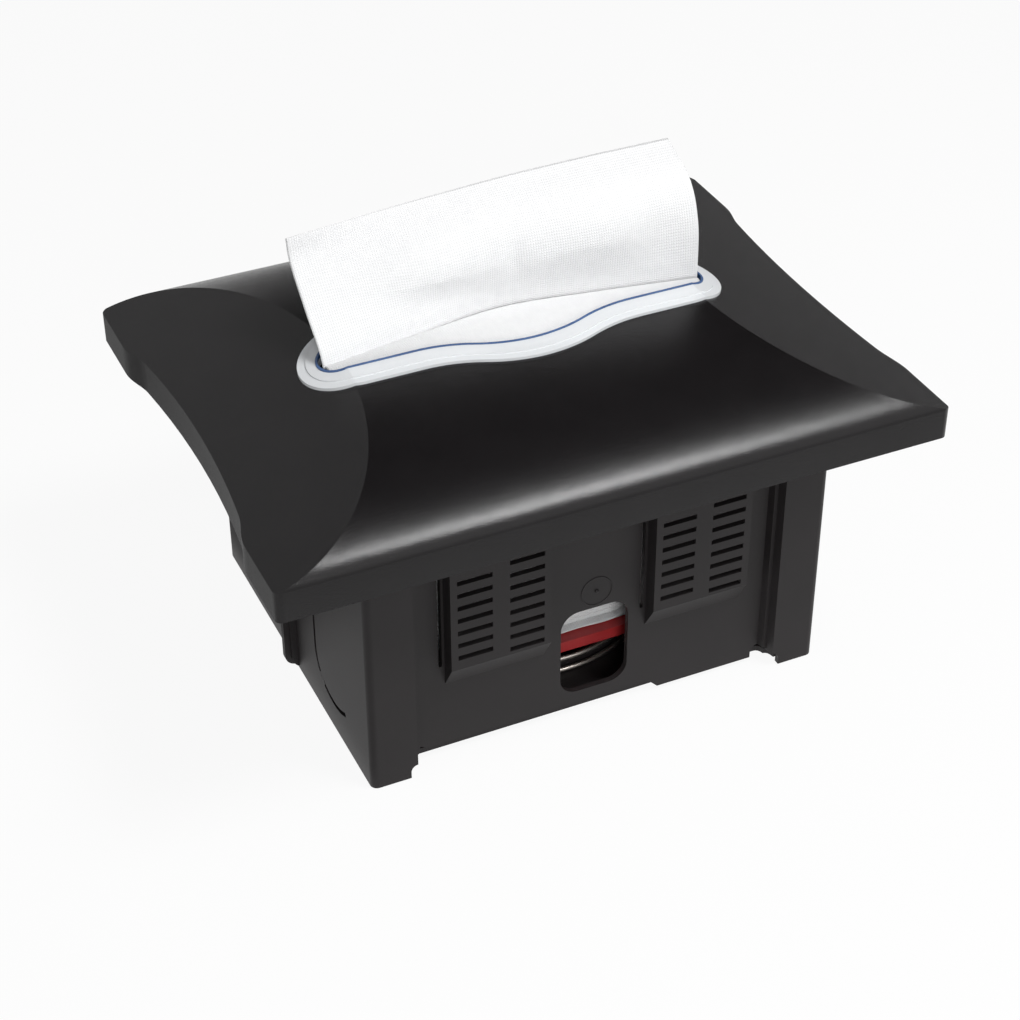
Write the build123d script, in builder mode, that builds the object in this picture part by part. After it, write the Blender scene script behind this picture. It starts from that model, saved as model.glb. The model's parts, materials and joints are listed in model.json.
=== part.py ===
"""In-counter napkin dispenser.

The dispenser drops through a cut-out in a counter and hangs by its collar. Millimetres, +Z up, X along the
long side, front at -Y. The origin is under the middle of the feet, on the surface that they stand on.
A spring lifts the follower plate, the plate lifts the napkins, and the napkins leave one by one through the
mouth in the lid. The lid swings back on two pins for loading.
"""
import os
from math import atan2, cos, pi, sin, sqrt

from build123d import *

os.makedirs("parts", exist_ok=True)
HALF_TURN = 180

# Lid, from the outside
LID_LENGTH = 280.0
LID_DEPTH = 212.0
COUNTER_Z = 112.0
SKIRT_HEIGHT = 13.0
CROWN_RISE = 21.0
FACET_RUN = 66.0
END_HOLLOW = 7.2
EAR_LENGTH = 31.0
EAR_BLEND = 18.0
END_ARC_SAG = 3.3
LID_CORNER = 3.0
LID_WALL = 2.5
REAR_CHAMFER = 1.8

# Tub, from the outside; its length follows from the napkins and the guides
TUB_DEPTH = 171.0
TUB_WALL = 2.5
TUB_CORNER = 3.0
POST_WIDTH = 19.6
LEDGE_WIDTH = 1.6
LEDGE_DEPTH = 4.0
RECESS_DEPTH = 7.0
RECESS_DRAFT = 2.0
PANEL_FOOT = 6.5
PANEL_FOOT_LOW = 1.8
PANEL_STEP_X = 25.0
ARCH_HEIGHT = 8.0
ARCH_WIDTH = 6.4
SCALLOP = 3.0

# Window in the front of the tub
WINDOW_WIDTH = 30.0
WINDOW_HEIGHT = 41.0
WINDOW_CORNER = 8.0
WINDOW_FOOT = 12.3

# Vent panels, the slits beside them and their slots
VENT_X = 43.9
VENT_WIDTH = 42.6
VENT_TOP = 104.0
VENT_FOOT = 48.3
VENT_BEVEL = 11.3
VENT_STRIP = 1.1
VENT_SLIT = 1.5
VENT_SLIT_FOOT = 46.0
SLOT_LENGTH = 14.7
SLOT_HEIGHT = 2.2
SLOT_PITCH = 6.05
SLOT_ROWS = 8
SLOT_COLUMN_X = 11.0
SLOT_LOWEST = 50.9

# Side walls: slit round a flexing tongue, and clamp rail with a low step in front of it
TONGUE_Y = -26.0
TONGUE_TOP = 76.0
TONGUE_BEND = 30.0
TONGUE_TURN_Y = -38.0
TONGUE_TURN_Z = 14.3
TONGUE_END_Y = -58.0
TONGUE_END_Z = 17.2
SLIT_WIDTH = 2.0
BRIDGE_Y = -32.5
BRIDGE_Z = 17.0
BRIDGE_WIDTH = 1.6
RAIL_REACH = 5.0
RAIL_THICKNESS = 3.0
RAIL_Y = 1.0
RAIL_FOOT = 0.5
RAIL_CURVE = 5.0
STEP_REACH = 2.6
STEP_THICKNESS = 2.0

# Floor of the tub
FLOOR_Z = 2.0
FLOOR_THICKNESS = 2.6
FLOOR_CLEARANCE = 0.3
SCREW_INSET_X = 12.0
SCREW_INSET_Y = 6.1
BOSS_WIDTH = 8.0
BOSS_DEPTH = 14.0
SCREW_RADIUS = 1.5
SCREW_LENGTH = 12.0
SCREW_HEAD_RADIUS = 3.2
SCREW_HEAD_HEIGHT = 1.5
SCREW_HOLE_PLAY = 0.4

# Napkins
NAPKIN_LENGTH = 165.0
NAPKIN_WIDTH = 108.0
STACK_TOP_PLAY = 0.45
STACK_CORNER = 3.0
SHEET_THICKNESS = 1.6
SOFT_GAP = 0.3

# Guides at the ends of the stack
GUIDE_PLAY = 1.5
GUIDE_WALL = 2.0
GUIDE_RETURN = 14.0
GUIDE_SIDE_PLAY = 1.0
GUIDE_TOP = 118.0
GUIDE_RIB_TOP = 107.0
GUIDE_RIB_Y = 30.0
GUIDE_RIB_THICKNESS = 3.0
GUIDE_FOOT_HEIGHT = 4.0
GUIDE_FOOT_LENGTH = 9.0
GUIDE_END_ROOM = 2.5

# Follower plate
PLATE_THICKNESS = 5.0
PLATE_Z = 19.5
PLATE_MARGIN = 7.5
PLATE_PLAY = 0.6
PLATE_CORNER = 3.0
PLATE_RIB_HEIGHT = 5.0
PLATE_RIB_THICKNESS = 2.0
PLATE_HUB_RADIUS = 15.0

# Spring
COIL_RADIUS = 57.0
WIRE_RADIUS = 1.1
COIL_TURNS = 2.0833
COIL_START_ANGLE = -105.0
COIL_GAP = 0.05
SEAT_WALL = 2.0
SEAT_HEIGHT = 4.5
SEAT_PLAY = 0.6

# Collar on the counter
COLLAR_THICKNESS = 2.5
COLLAR_GAP = 0.8
COLLAR_REAR_INSET = 7.0
REBATE_DEPTH = 0.6
REBATE_PLAY = 1.0
FUNNEL_END_PLAY = 0.5
FUNNEL_SIDE_PLAY = 1.0
FUNNEL_REACH = 4.0
FUNNEL_HEIGHT = 5.5
FUNNEL_WALL = 2.0

# Hinge
HINGE_INSET = 3.0
HINGE_RISE = 3.5
BARREL_RADIUS = 3.0
PIN_RADIUS = 1.5
PIN_PLAY = 0.05
PIN_HEAD_RADIUS = 2.4
PIN_HEAD = 1.2
HINGE_X = 72.0
KNUCKLE_LENGTH = 20.0
LUG_LENGTH = 6.0
LUG_GAP = 0.3
LUG_FOOT = 8.0
NOTCH_PLAY = 0.5

# Snap hooks at the lid's front
HOOK_X = 60.0
HOOK_WIDTH = 12.0
HOOK_THICKNESS = 2.0
HOOK_GAP = 0.2
HOOK_NOTCH = 1.0

# Mouth in the lid: a hole just longer than a napkin, and a frame round it
MOUTH_Y = -2.5
MOUTH_PLAY = 1.5
MOUTH_HALF_WIDTH = 10.0
MOUTH_BULGE = 9.5
BULGE_HALF_LENGTH = 47.0
FRAME_END = 7.0
FRAME_SIDE = 10.2
FRAME_PROUD = 1.2
FRAME_STEP = 0.5
FRAME_OVERLAP = 3.2
FRAME_PLAY = 0.2
FRAME_DEPTH = 4.5
TRIM_WIDTH = 0.9
TRIM_PROUD = 2.1
THROAT_THICKNESS = 2.5
THROAT_LIP = 0.5
THROAT_HALF_LENGTH = 98.0
THROAT_HALF_WIDTH = 34.0
THROAT_CORNER = 8.0
THROAT_SCREW_INSET = 12.0
THROAT_SCREW_Y = 28.0
THROAT_BOSS_RADIUS = 3.6
THROAT_SCREW_RADIUS = 1.3
THROAT_HEAD_RADIUS = 2.8
THROAT_HEAD_HEIGHT = 1.4
LID_SKIN_OVER_SCREW = 1.2

# How far cutting forms run past what they cut
CUT_MARGIN = 5.0

# Worked out from the sizes above
RIM_Z = COUNTER_Z + SKIRT_HEIGHT
FACET_SLOPE = CROWN_RISE / FACET_RUN
FACET_TILT = sqrt(1.0 + FACET_SLOPE**2)
FLOOR_TOP = FLOOR_Z + FLOOR_THICKNESS
GUIDE_X = NAPKIN_LENGTH / 2 + GUIDE_PLAY
GUIDE_Y = NAPKIN_WIDTH / 2 + GUIDE_SIDE_PLAY
TUB_HALF_X = GUIDE_X + GUIDE_WALL + GUIDE_FOOT_LENGTH + GUIDE_END_ROOM + TUB_WALL
TUB_HALF_Y = TUB_DEPTH / 2
SCREW_X = TUB_HALF_X - SCREW_INSET_X
SCREW_Y = TUB_HALF_Y - SCREW_INSET_Y
PANEL_Y = TUB_HALF_Y - RECESS_DEPTH
INNER_X = TUB_HALF_X - TUB_WALL
INNER_Y = PANEL_Y - TUB_WALL
RECESS_HALF_X = TUB_HALF_X - POST_WIDTH
PANEL_HALF_X = RECESS_HALF_X - LEDGE_WIDTH - RECESS_DRAFT
PLATE_TOP = PLATE_Z + PLATE_THICKNESS
COLLAR_TOP = COUNTER_Z + COLLAR_THICKNESS
TUB_TOP = COUNTER_Z + REBATE_DEPTH
HINGE_Y = LID_DEPTH / 2 - HINGE_INSET
HINGE_Z = COUNTER_Z + HINGE_RISE
MOUTH_HALF_LENGTH = NAPKIN_LENGTH / 2 + MOUTH_PLAY
FRAME_HALF_LENGTH = MOUTH_HALF_LENGTH + FRAME_END
FRAME_HALF_WIDTH = MOUTH_HALF_WIDTH + FRAME_SIDE
THROAT_UNDERSIDE = FRAME_DEPTH + THROAT_THICKNESS
THROAT_SCREW_X = LID_LENGTH / 2 - FACET_RUN - THROAT_SCREW_INSET
THROAT_END_Z = (RIM_Z - THROAT_UNDERSIDE * FACET_TILT
                + FACET_SLOPE * (LID_LENGTH - NAPKIN_LENGTH) / 2)
THROAT_SIDE_Z = RIM_Z + (CROWN_RISE - THROAT_UNDERSIDE) * sqrt(
    1 - (THROAT_HALF_WIDTH / (LID_DEPTH / 2 - THROAT_UNDERSIDE))**2)
STACK_TOP = min(THROAT_END_Z, THROAT_SIDE_Z) - STACK_TOP_PLAY


def finish(piece, name):
    """Label a finished piece and write it under its own name."""
    piece.label = name
    export_step(piece, f"parts/{name}.step")


def lid_outline(inset):
    """Plan of the lid: square corners with short ears, and shallow hollow ends between them."""
    ear_x = LID_LENGTH / 2 - inset
    side_y = LID_DEPTH / 2 - inset
    ear_y = LID_DEPTH / 2 - EAR_LENGTH
    neck_y = ear_y - EAR_BLEND
    middle_x = ear_x - END_HOLLOW
    neck_x = middle_x + END_ARC_SAG
    lean = atan2(2 * END_ARC_SAG, neck_y)
    with BuildSketch() as outline:
        with BuildLine():
            Line((0, -side_y), (ear_x, -side_y))
            Line((ear_x, -side_y), (ear_x, -ear_y))
            Spline((ear_x, -ear_y), (neck_x, -neck_y), tangents=((0, 1), (-sin(lean), cos(lean))))
            ThreePointArc((neck_x, -neck_y), (middle_x, 0), (neck_x, neck_y))
            Spline((neck_x, neck_y), (ear_x, ear_y), tangents=((sin(lean), cos(lean)), (0, 1)))
            Line((ear_x, ear_y), (ear_x, side_y))
            Line((ear_x, side_y), (0, side_y))
            Line((0, side_y), (0, -side_y))
        make_face()
        mirror(about=Plane.YZ)
        corners = outline.vertices().filter_by(lambda v: abs(v.X) > ear_x - 0.1 and abs(v.Y) > side_y - 0.1)
        fillet(corners, LID_CORNER)
    return outline.sketch


def lid_form(inset, foot):
    """Solid under the lid's surface: an elliptical crown cut by two sloping end facets, from foot upwards."""
    half_depth = LID_DEPTH / 2 - inset
    with BuildPart() as form:
        with BuildSketch(Plane.YZ):
            with BuildLine():
                EllipticalCenterArc((0, RIM_Z), half_depth, CROWN_RISE - inset, 0, arc_size=HALF_TURN)
                Polyline((-half_depth, RIM_Z), (-half_depth, foot), (half_depth, foot), (half_depth, RIM_Z))
            make_face()
        extrude(amount=LID_LENGTH / 2, both=True)
        facet_z = RIM_Z - inset * FACET_TILT
        rise = CROWN_RISE + CUT_MARGIN
        with BuildSketch(Plane.XZ):
            with BuildLine():
                Polyline((0, foot - 1), (LID_LENGTH / 2, foot - 1), (LID_LENGTH / 2, facet_z),
                         (LID_LENGTH / 2 - rise / FACET_SLOPE, facet_z + rise), (0, facet_z + rise),
                         close=True)
            make_face()
            mirror(about=Plane.YZ)
        extrude(amount=LID_DEPTH / 2 + 1, both=True, mode=Mode.INTERSECT)
    return form.part


def crown_z(y, inset):
    """Height of the lid's surface, or of a surface set in below it, at a distance y from the lid's middle."""
    return RIM_Z + (CROWN_RISE - inset) * sqrt(1 - (y / (LID_DEPTH / 2 - inset))**2)


def mouth_outline(half_length, half_width):
    """Plan of the mouth or its frame: a long round-ended slot with a bulge in both long sides."""
    end_x = half_length - half_width
    peak = half_width + MOUTH_BULGE
    half_bulge = BULGE_HALF_LENGTH / 2
    with BuildSketch() as outline:
        with BuildLine():
            Line((end_x, -half_width), (BULGE_HALF_LENGTH, -half_width))
            rise = TangentArc((BULGE_HALF_LENGTH, -half_width), (half_bulge, -half_width - MOUTH_BULGE / 2),
                              tangent=(-1, 0))
            TangentArc(rise @ 1, (0, -peak), tangent=rise % 1)
            Line((0, -peak), (0, 0))
            Line((0, 0), (half_length, 0))
            CenterArc((end_x, 0), half_width, 0, -90)
        make_face()
        mirror(about=Plane.YZ)
        mirror(about=Plane.XZ)
    return outline.sketch.moved(Location((0, MOUTH_Y, 0)))


def prism(outline, low, high):
    """Upright block on a plan outline."""
    with BuildPart() as block:
        with BuildSketch(Plane.XY.offset(low)):
            add(outline)
        extrude(amount=high - low)
    return block.part


def screw(shank_radius, shank_length, head_radius, head_height):
    """Pan-head screw standing on its head's underside, with its shank along +Z."""
    with BuildPart() as body:
        with BuildSketch(Plane.XZ):
            with BuildLine():
                Polyline((0, shank_length), (shank_radius / 2, shank_length),
                         (shank_radius, shank_length - shank_radius), (shank_radius, 0), (head_radius, 0),
                         (head_radius, -head_height / 2), (head_radius - head_height / 2, -head_height),
                         (0, -head_height), close=True)
            make_face()
        revolve(axis=Axis.Z)
        with BuildSketch(Plane.XY.offset(-head_height)):
            Rectangle(head_radius, head_radius / 4)
            Rectangle(head_radius / 4, head_radius)
        extrude(amount=head_height / 2, mode=Mode.SUBTRACT)
    return body.part


# Tub, the moulded body below the counter
def tub_outline():
    """Plan of the tub: four corner posts, the front and rear panels set back between them in two steps."""
    with BuildSketch() as outline:
        Rectangle(2 * TUB_HALF_X, TUB_DEPTH)
        fillet(outline.vertices(), TUB_CORNER)
        with BuildSketch(mode=Mode.PRIVATE) as recess:
            with BuildLine():
                Polyline((RECESS_HALF_X, -TUB_HALF_Y - 1), (RECESS_HALF_X, -TUB_HALF_Y),
                         (RECESS_HALF_X - RECESS_DRAFT / 2, -TUB_HALF_Y + LEDGE_DEPTH),
                         (PANEL_HALF_X + RECESS_DRAFT / 2, -TUB_HALF_Y + LEDGE_DEPTH),
                         (PANEL_HALF_X, -PANEL_Y),
                         (0, -PANEL_Y), (0, -TUB_HALF_Y - 1), close=True)
            make_face()
            mirror(about=Plane.YZ)
        add(recess.sketch, mode=Mode.SUBTRACT)
        add(mirror(recess.sketch, about=Plane.XZ, mode=Mode.PRIVATE), mode=Mode.SUBTRACT)
    return outline.sketch


def vent_block(inset):
    """Vent panel, level with the posts, its foot bevelled; inset gives the pocket behind it."""
    face_y = TUB_HALF_Y - inset
    with BuildPart() as block:
        with BuildSketch(Plane.YZ.offset(-VENT_WIDTH / 2 + inset)):
            with BuildLine():
                Polyline((-face_y, VENT_FOOT + inset), (-face_y, VENT_TOP - inset),
                         (-PANEL_Y + inset + 1, VENT_TOP - inset),
                         (-PANEL_Y + inset + 1, VENT_FOOT - VENT_BEVEL + inset),
                         (-PANEL_Y + inset, VENT_FOOT - VENT_BEVEL + inset), close=True)
            make_face()
        extrude(amount=VENT_WIDTH - 2 * inset)
    return block.part


def vent_slits():
    """The two slits beside a vent panel, round at the foot, that let it flex."""
    slit_x = VENT_WIDTH / 2 + VENT_STRIP + VENT_SLIT / 2
    slit_z = (VENT_SLIT_FOOT + VENT_TOP) / 2
    with BuildPart() as cut:
        with BuildSketch(Plane.XZ.offset(PANEL_Y - TUB_WALL - 1)):
            with Locations((-slit_x, slit_z), (slit_x, slit_z)):
                SlotOverall(VENT_TOP - VENT_SLIT_FOOT, VENT_SLIT, rotation=90)
        extrude(amount=TUB_WALL + 2)
    return cut.part


def panel_foot_cut():
    """What is cut away under a long panel: a shallow step, and an arch beside each post."""
    with BuildPart() as cut:
        with BuildSketch(Plane.XZ.offset(PANEL_Y - TUB_WALL - 1)):
            with BuildLine():
                Polyline((-PANEL_HALF_X, -1), (-PANEL_HALF_X, PANEL_FOOT), (PANEL_STEP_X, PANEL_FOOT),
                         (PANEL_STEP_X + PANEL_FOOT - PANEL_FOOT_LOW, PANEL_FOOT_LOW),
                         (PANEL_HALF_X - ARCH_WIDTH / 2, PANEL_FOOT_LOW), (PANEL_HALF_X - ARCH_WIDTH / 2, -1),
                         close=True)
            make_face()
        extrude(amount=RECESS_DEPTH + TUB_WALL + 2)
        with BuildSketch(Plane.XZ.offset(PANEL_Y - TUB_WALL - 1)):
            with Locations((-PANEL_HALF_X, 0), (PANEL_HALF_X, 0)):
                SlotOverall(2 * ARCH_HEIGHT, ARCH_WIDTH, rotation=90)
            with Locations((-RECESS_HALF_X, 0), (RECESS_HALF_X, 0)):
                SlotOverall(4 * SCALLOP, 2 * SCALLOP, rotation=90)
        extrude(amount=RECESS_DEPTH + TUB_WALL + 2)
    return cut.part


def tongue_slit():
    """Slit round the flexing tongue in a side wall, interrupted by one small bridge."""
    with BuildPart() as cut:
        with BuildSketch(Plane.YZ.offset(INNER_X - 1)):
            with BuildLine():
                drop = Line((TONGUE_Y, TONGUE_TOP), (TONGUE_Y, TONGUE_BEND))
                turn = TangentArc(drop @ 1, (TONGUE_TURN_Y, TONGUE_TURN_Z), tangent=drop % 1)
                TangentArc(turn @ 1, (TONGUE_END_Y, TONGUE_END_Z), tangent=turn % 1)
            trace(line_width=SLIT_WIDTH)
            with Locations(Location((BRIDGE_Y, BRIDGE_Z), (0, 0, -45))):
                Rectangle(BRIDGE_WIDTH, 3 * SLIT_WIDTH, mode=Mode.SUBTRACT)
        extrude(amount=TUB_WALL + 2)
    return cut.part


def clamp_rail(side, middle_y, thickness, reach):
    """Upright rail on a side wall, its foot curved back to the wall."""
    wall_x = side * (TUB_HALF_X - 1)
    outer_x = side * (TUB_HALF_X + reach)
    with BuildPart() as rail:
        with BuildSketch(Plane.XZ.offset(-middle_y - thickness / 2)):
            with BuildLine():
                Polyline((side * TUB_HALF_X, RAIL_FOOT), (wall_x, RAIL_FOOT), (wall_x, TUB_TOP),
                         (outer_x, TUB_TOP), (outer_x, RAIL_FOOT + RAIL_CURVE))
                TangentArc((outer_x, RAIL_FOOT + RAIL_CURVE), (side * TUB_HALF_X, RAIL_FOOT), tangent=(0, -1))
            make_face()
        extrude(amount=thickness)
    return rail.part


tub_plan = tub_outline()
vent_solid = vent_block(0.0)
vent_pocket = vent_block(TUB_WALL)
slits = vent_slits()
foot_cut = panel_foot_cut()
slit = tongue_slit()
other_slit = mirror(slit, about=Plane.YZ)
step_y = RAIL_Y - (RAIL_THICKNESS + STEP_THICKNESS) / 2
rails = [clamp_rail(side, RAIL_Y, RAIL_THICKNESS, RAIL_REACH) for side in (-1, 1)]
steps = [clamp_rail(side, step_y, STEP_THICKNESS, STEP_REACH) for side in (-1, 1)]
boss_span = TUB_HALF_Y - TUB_WALL / 2 - INNER_Y
boss_y = INNER_Y + boss_span / 2

with BuildPart() as housing:
    with BuildSketch():
        add(tub_plan)
    extrude(amount=TUB_TOP)
    with BuildSketch():
        add(tub_plan)
        offset(amount=-TUB_WALL, mode=Mode.REPLACE)
    extrude(amount=TUB_TOP, mode=Mode.SUBTRACT)
    for x in (-VENT_X, VENT_X):
        for turn in (0, HALF_TURN):
            with Locations(Location((x, 0, 0), (0, 0, turn))):
                add(vent_solid)
    for x in (-VENT_X, VENT_X):
        for turn in (0, HALF_TURN):
            with Locations(Location((x, 0, 0), (0, 0, turn))):
                add(vent_pocket, mode=Mode.SUBTRACT)
                add(slits, mode=Mode.SUBTRACT)
    slot_z = SLOT_LOWEST + (SLOT_ROWS - 1) * SLOT_PITCH / 2
    for x in (-VENT_X, VENT_X):
        with BuildSketch(Plane.XZ):
            with Locations((x + SLOT_COLUMN_X, slot_z)):
                with GridLocations(0, SLOT_PITCH, 1, SLOT_ROWS):
                    Rectangle(SLOT_LENGTH, SLOT_HEIGHT)
            with Locations((x - SLOT_COLUMN_X, slot_z + SLOT_PITCH / 2)):
                with GridLocations(0, SLOT_PITCH, 1, SLOT_ROWS):
                    Rectangle(SLOT_LENGTH, SLOT_HEIGHT)
        extrude(amount=TUB_DEPTH, both=True, mode=Mode.SUBTRACT)
    with BuildSketch(Plane.XZ):
        with Locations((0, WINDOW_FOOT + WINDOW_HEIGHT / 2)):
            RectangleRounded(WINDOW_WIDTH, WINDOW_HEIGHT, WINDOW_CORNER)
    extrude(amount=TUB_DEPTH, mode=Mode.SUBTRACT)
    add(foot_cut, mode=Mode.SUBTRACT)
    with Locations(Location((0, 0, 0), (0, 0, HALF_TURN))):
        add(foot_cut, mode=Mode.SUBTRACT)
    add(slit, mode=Mode.SUBTRACT)
    add(other_slit, mode=Mode.SUBTRACT)
    for rail in rails + steps:
        add(rail)
    with BuildSketch(Plane.XY.offset(TUB_TOP)):
        with GridLocations(2 * SCREW_X, 2 * boss_y, 2, 2):
            Rectangle(BOSS_WIDTH, boss_span)
    extrude(amount=-BOSS_DEPTH)
    with BuildSketch(Plane.XY.offset(FLOOR_TOP)):
        with GridLocations(2 * SCREW_X, 2 * boss_y, 2, 2):
            Rectangle(BOSS_WIDTH, boss_span)
    extrude(amount=BOSS_DEPTH)
    with BuildSketch():
        with GridLocations(2 * SCREW_X, 2 * SCREW_Y, 2, 2):
            Circle(SCREW_RADIUS)
    extrude(amount=TUB_TOP, mode=Mode.SUBTRACT)
finish(housing.part, "housing")

# Floor plate, with the ring that keeps the spring in place
guide_screw_x = GUIDE_X + GUIDE_WALL + GUIDE_FOOT_LENGTH / 2
seat_radius = COIL_RADIUS - WIRE_RADIUS - SEAT_PLAY
with BuildPart() as base_plate:
    with BuildSketch(Plane.XY.offset(FLOOR_Z)):
        add(tub_plan)
        offset(amount=-TUB_WALL - FLOOR_CLEARANCE, mode=Mode.REPLACE)
        with GridLocations(2 * SCREW_X, 2 * SCREW_Y, 2, 2):
            Circle(SCREW_RADIUS + SCREW_HOLE_PLAY, mode=Mode.SUBTRACT)
        with GridLocations(2 * guide_screw_x, 2 * GUIDE_RIB_Y, 2, 2):
            Circle(SCREW_RADIUS + SCREW_HOLE_PLAY, mode=Mode.SUBTRACT)
    extrude(amount=FLOOR_THICKNESS)
    with BuildSketch(Plane.XY.offset(FLOOR_TOP)):
        Circle(seat_radius)
        Circle(seat_radius - SEAT_WALL, mode=Mode.SUBTRACT)
    extrude(amount=SEAT_HEIGHT)
finish(base_plate.part, "base_plate")

# Screws, four to a group
tub_screw = screw(SCREW_RADIUS, SCREW_LENGTH, SCREW_HEAD_RADIUS, SCREW_HEAD_HEIGHT)

with BuildPart() as base_screws:
    for x in (-SCREW_X, SCREW_X):
        for y in (-SCREW_Y, SCREW_Y):
            with Locations((x, y, FLOOR_Z)):
                add(tub_screw)
finish(base_screws.part, "base_screws")

with BuildPart() as guide_screws:
    for x in (-guide_screw_x, guide_screw_x):
        for y in (-GUIDE_RIB_Y, GUIDE_RIB_Y):
            with Locations((x, y, FLOOR_Z)):
                add(tub_screw)
finish(guide_screws.part, "guide_screws")

with BuildPart() as collar_screws:
    for x in (-SCREW_X, SCREW_X):
        for y in (-SCREW_Y, SCREW_Y):
            with Locations(Location((x, y, COLLAR_TOP), (HALF_TURN, 0, 0))):
                add(tub_screw)
finish(collar_screws.part, "collar_screws")


# Guides that hold the ends of the napkin stack
def end_guide(side):
    """Channel round one end of the stack, with ribs to the tub's wall and two feet for screws."""
    web_x = side * (GUIDE_X + GUIDE_WALL / 2)
    flange_x = side * (GUIDE_X + GUIDE_WALL - GUIDE_RETURN / 2)
    rib_span = INNER_X - GUIDE_X - GUIDE_WALL
    rib_x = side * (INNER_X - rib_span / 2)
    foot_x = side * (GUIDE_X + GUIDE_WALL + GUIDE_FOOT_LENGTH / 2)
    with BuildPart() as guide:
        with BuildSketch(Plane.XY.offset(FLOOR_TOP)):
            with Locations((web_x, 0)):
                Rectangle(GUIDE_WALL, 2 * (GUIDE_Y + GUIDE_WALL))
            with Locations((flange_x, -GUIDE_Y - GUIDE_WALL / 2), (flange_x, GUIDE_Y + GUIDE_WALL / 2)):
                Rectangle(GUIDE_RETURN, GUIDE_WALL)
        extrude(amount=GUIDE_TOP - FLOOR_TOP)
        lead_in = guide.faces().sort_by(Axis.Z)[-1].edges()
        chamfer(lead_in, GUIDE_WALL / 3)
        with BuildSketch(Plane.XY.offset(FLOOR_TOP)):
            with Locations((rib_x, -GUIDE_RIB_Y), (rib_x, GUIDE_RIB_Y)):
                Rectangle(rib_span, GUIDE_RIB_THICKNESS)
        extrude(amount=GUIDE_RIB_TOP - FLOOR_TOP)
        with BuildSketch(Plane.XY.offset(FLOOR_TOP)):
            with Locations((foot_x, -GUIDE_RIB_Y), (foot_x, GUIDE_RIB_Y)):
                Rectangle(GUIDE_FOOT_LENGTH, GUIDE_FOOT_LENGTH)
        extrude(amount=SCREW_LENGTH + GUIDE_FOOT_HEIGHT - FLOOR_THICKNESS)
        with BuildSketch(Plane.XY.offset(FLOOR_TOP)):
            with Locations((foot_x, -GUIDE_RIB_Y), (foot_x, GUIDE_RIB_Y)):
                Circle(SCREW_RADIUS)
        extrude(amount=SCREW_LENGTH, mode=Mode.SUBTRACT)
    return guide.part


finish(end_guide(-1), "left_guide")
finish(end_guide(1), "right_guide")

# Follower plate: wide in the middle, with narrower ends that run inside the guides
plate_half_x = GUIDE_X - PLATE_PLAY
plate_end_y = GUIDE_Y - PLATE_PLAY
plate_half_y = NAPKIN_WIDTH / 2 + PLATE_MARGIN
plate_middle_x = GUIDE_X + GUIDE_WALL - GUIDE_RETURN - PLATE_PLAY
with BuildPart() as follower:
    with BuildSketch(Plane.XY.offset(PLATE_Z)):
        Rectangle(2 * plate_half_x, 2 * plate_end_y)
        Rectangle(2 * plate_middle_x, 2 * plate_half_y)
        with Locations((0, 0)):
            Circle(PLATE_HUB_RADIUS - PLATE_RIB_THICKNESS, mode=Mode.SUBTRACT)
    extrude(amount=PLATE_THICKNESS)
    outer_corners = follower.edges().filter_by(Axis.Z).group_by(lambda e: abs(e.center().Y))[-1]
    fillet(outer_corners, PLATE_CORNER)
    with BuildSketch(Plane.XY.offset(PLATE_Z)):
        Circle(PLATE_HUB_RADIUS)
        Circle(PLATE_HUB_RADIUS - PLATE_RIB_THICKNESS, mode=Mode.SUBTRACT)
        with PolarLocations((seat_radius + PLATE_HUB_RADIUS - PLATE_RIB_THICKNESS) / 2, 4, start_angle=45):
            Rectangle(seat_radius - PLATE_HUB_RADIUS, PLATE_RIB_THICKNESS)
    extrude(amount=-PLATE_RIB_HEIGHT)
finish(follower.part, "follower")


# Spring
def coil_point(angle, low, climb):
    height = low + climb * (angle - coil_start) / (2 * pi)
    return Vector(COIL_RADIUS * cos(angle), COIL_RADIUS * sin(angle), height)


def coil_tangent(angle, climb):
    return Vector(-COIL_RADIUS * sin(angle), COIL_RADIUS * cos(angle), climb / (2 * pi)).normalized()


def biarc_middle(start, start_tangent, end, end_tangent):
    """Point where two tangent arcs of a quarter turn meet."""
    chord = end - start
    both = start_tangent + end_tangent
    spread = 2 * (1 - start_tangent.dot(end_tangent))
    reach = (sqrt(chord.dot(both)**2 + spread * chord.dot(chord)) - chord.dot(both)) / spread
    return (start + start_tangent * reach + end - end_tangent * reach) * 0.5


coil_start = COIL_START_ANGLE * pi / 180
coil_low = FLOOR_TOP + WIRE_RADIUS + COIL_GAP
coil_high = PLATE_Z - WIRE_RADIUS - COIL_GAP
coil_climb = (coil_high - coil_low) / COIL_TURNS
coil_steps = max(4, round(4 * COIL_TURNS))
coil_angles = [coil_start + 2 * pi * COIL_TURNS * step / coil_steps for step in range(coil_steps + 1)]

with BuildPart() as follower_spring:
    with BuildLine() as coil:
        for first, last in zip(coil_angles[:-1], coil_angles[1:]):
            here = coil_point(first, coil_low, coil_climb)
            there = coil_point(last, coil_low, coil_climb)
            heading = coil_tangent(first, coil_climb)
            meeting = biarc_middle(here, heading, there, coil_tangent(last, coil_climb))
            first_arc = TangentArc(here, meeting, tangent=heading)
            TangentArc(meeting, there, tangent=first_arc % 1)
    with BuildSketch(Plane(origin=coil.line @ 0, z_dir=coil.line % 0)):
        Circle(WIRE_RADIUS)
    sweep()
finish(follower_spring.part, "follower_spring")
coil_samples = [coil.line @ (step / 400) for step in range(401)]
half_turn = int(400 / COIL_TURNS / 2)
coil_gap = min((a - b).length for i, a in enumerate(coil_samples) for b in coil_samples[i + half_turn:])
print("least gap between the spring's turns", round(coil_gap - 2 * WIRE_RADIUS, 2), "mm")

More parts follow.
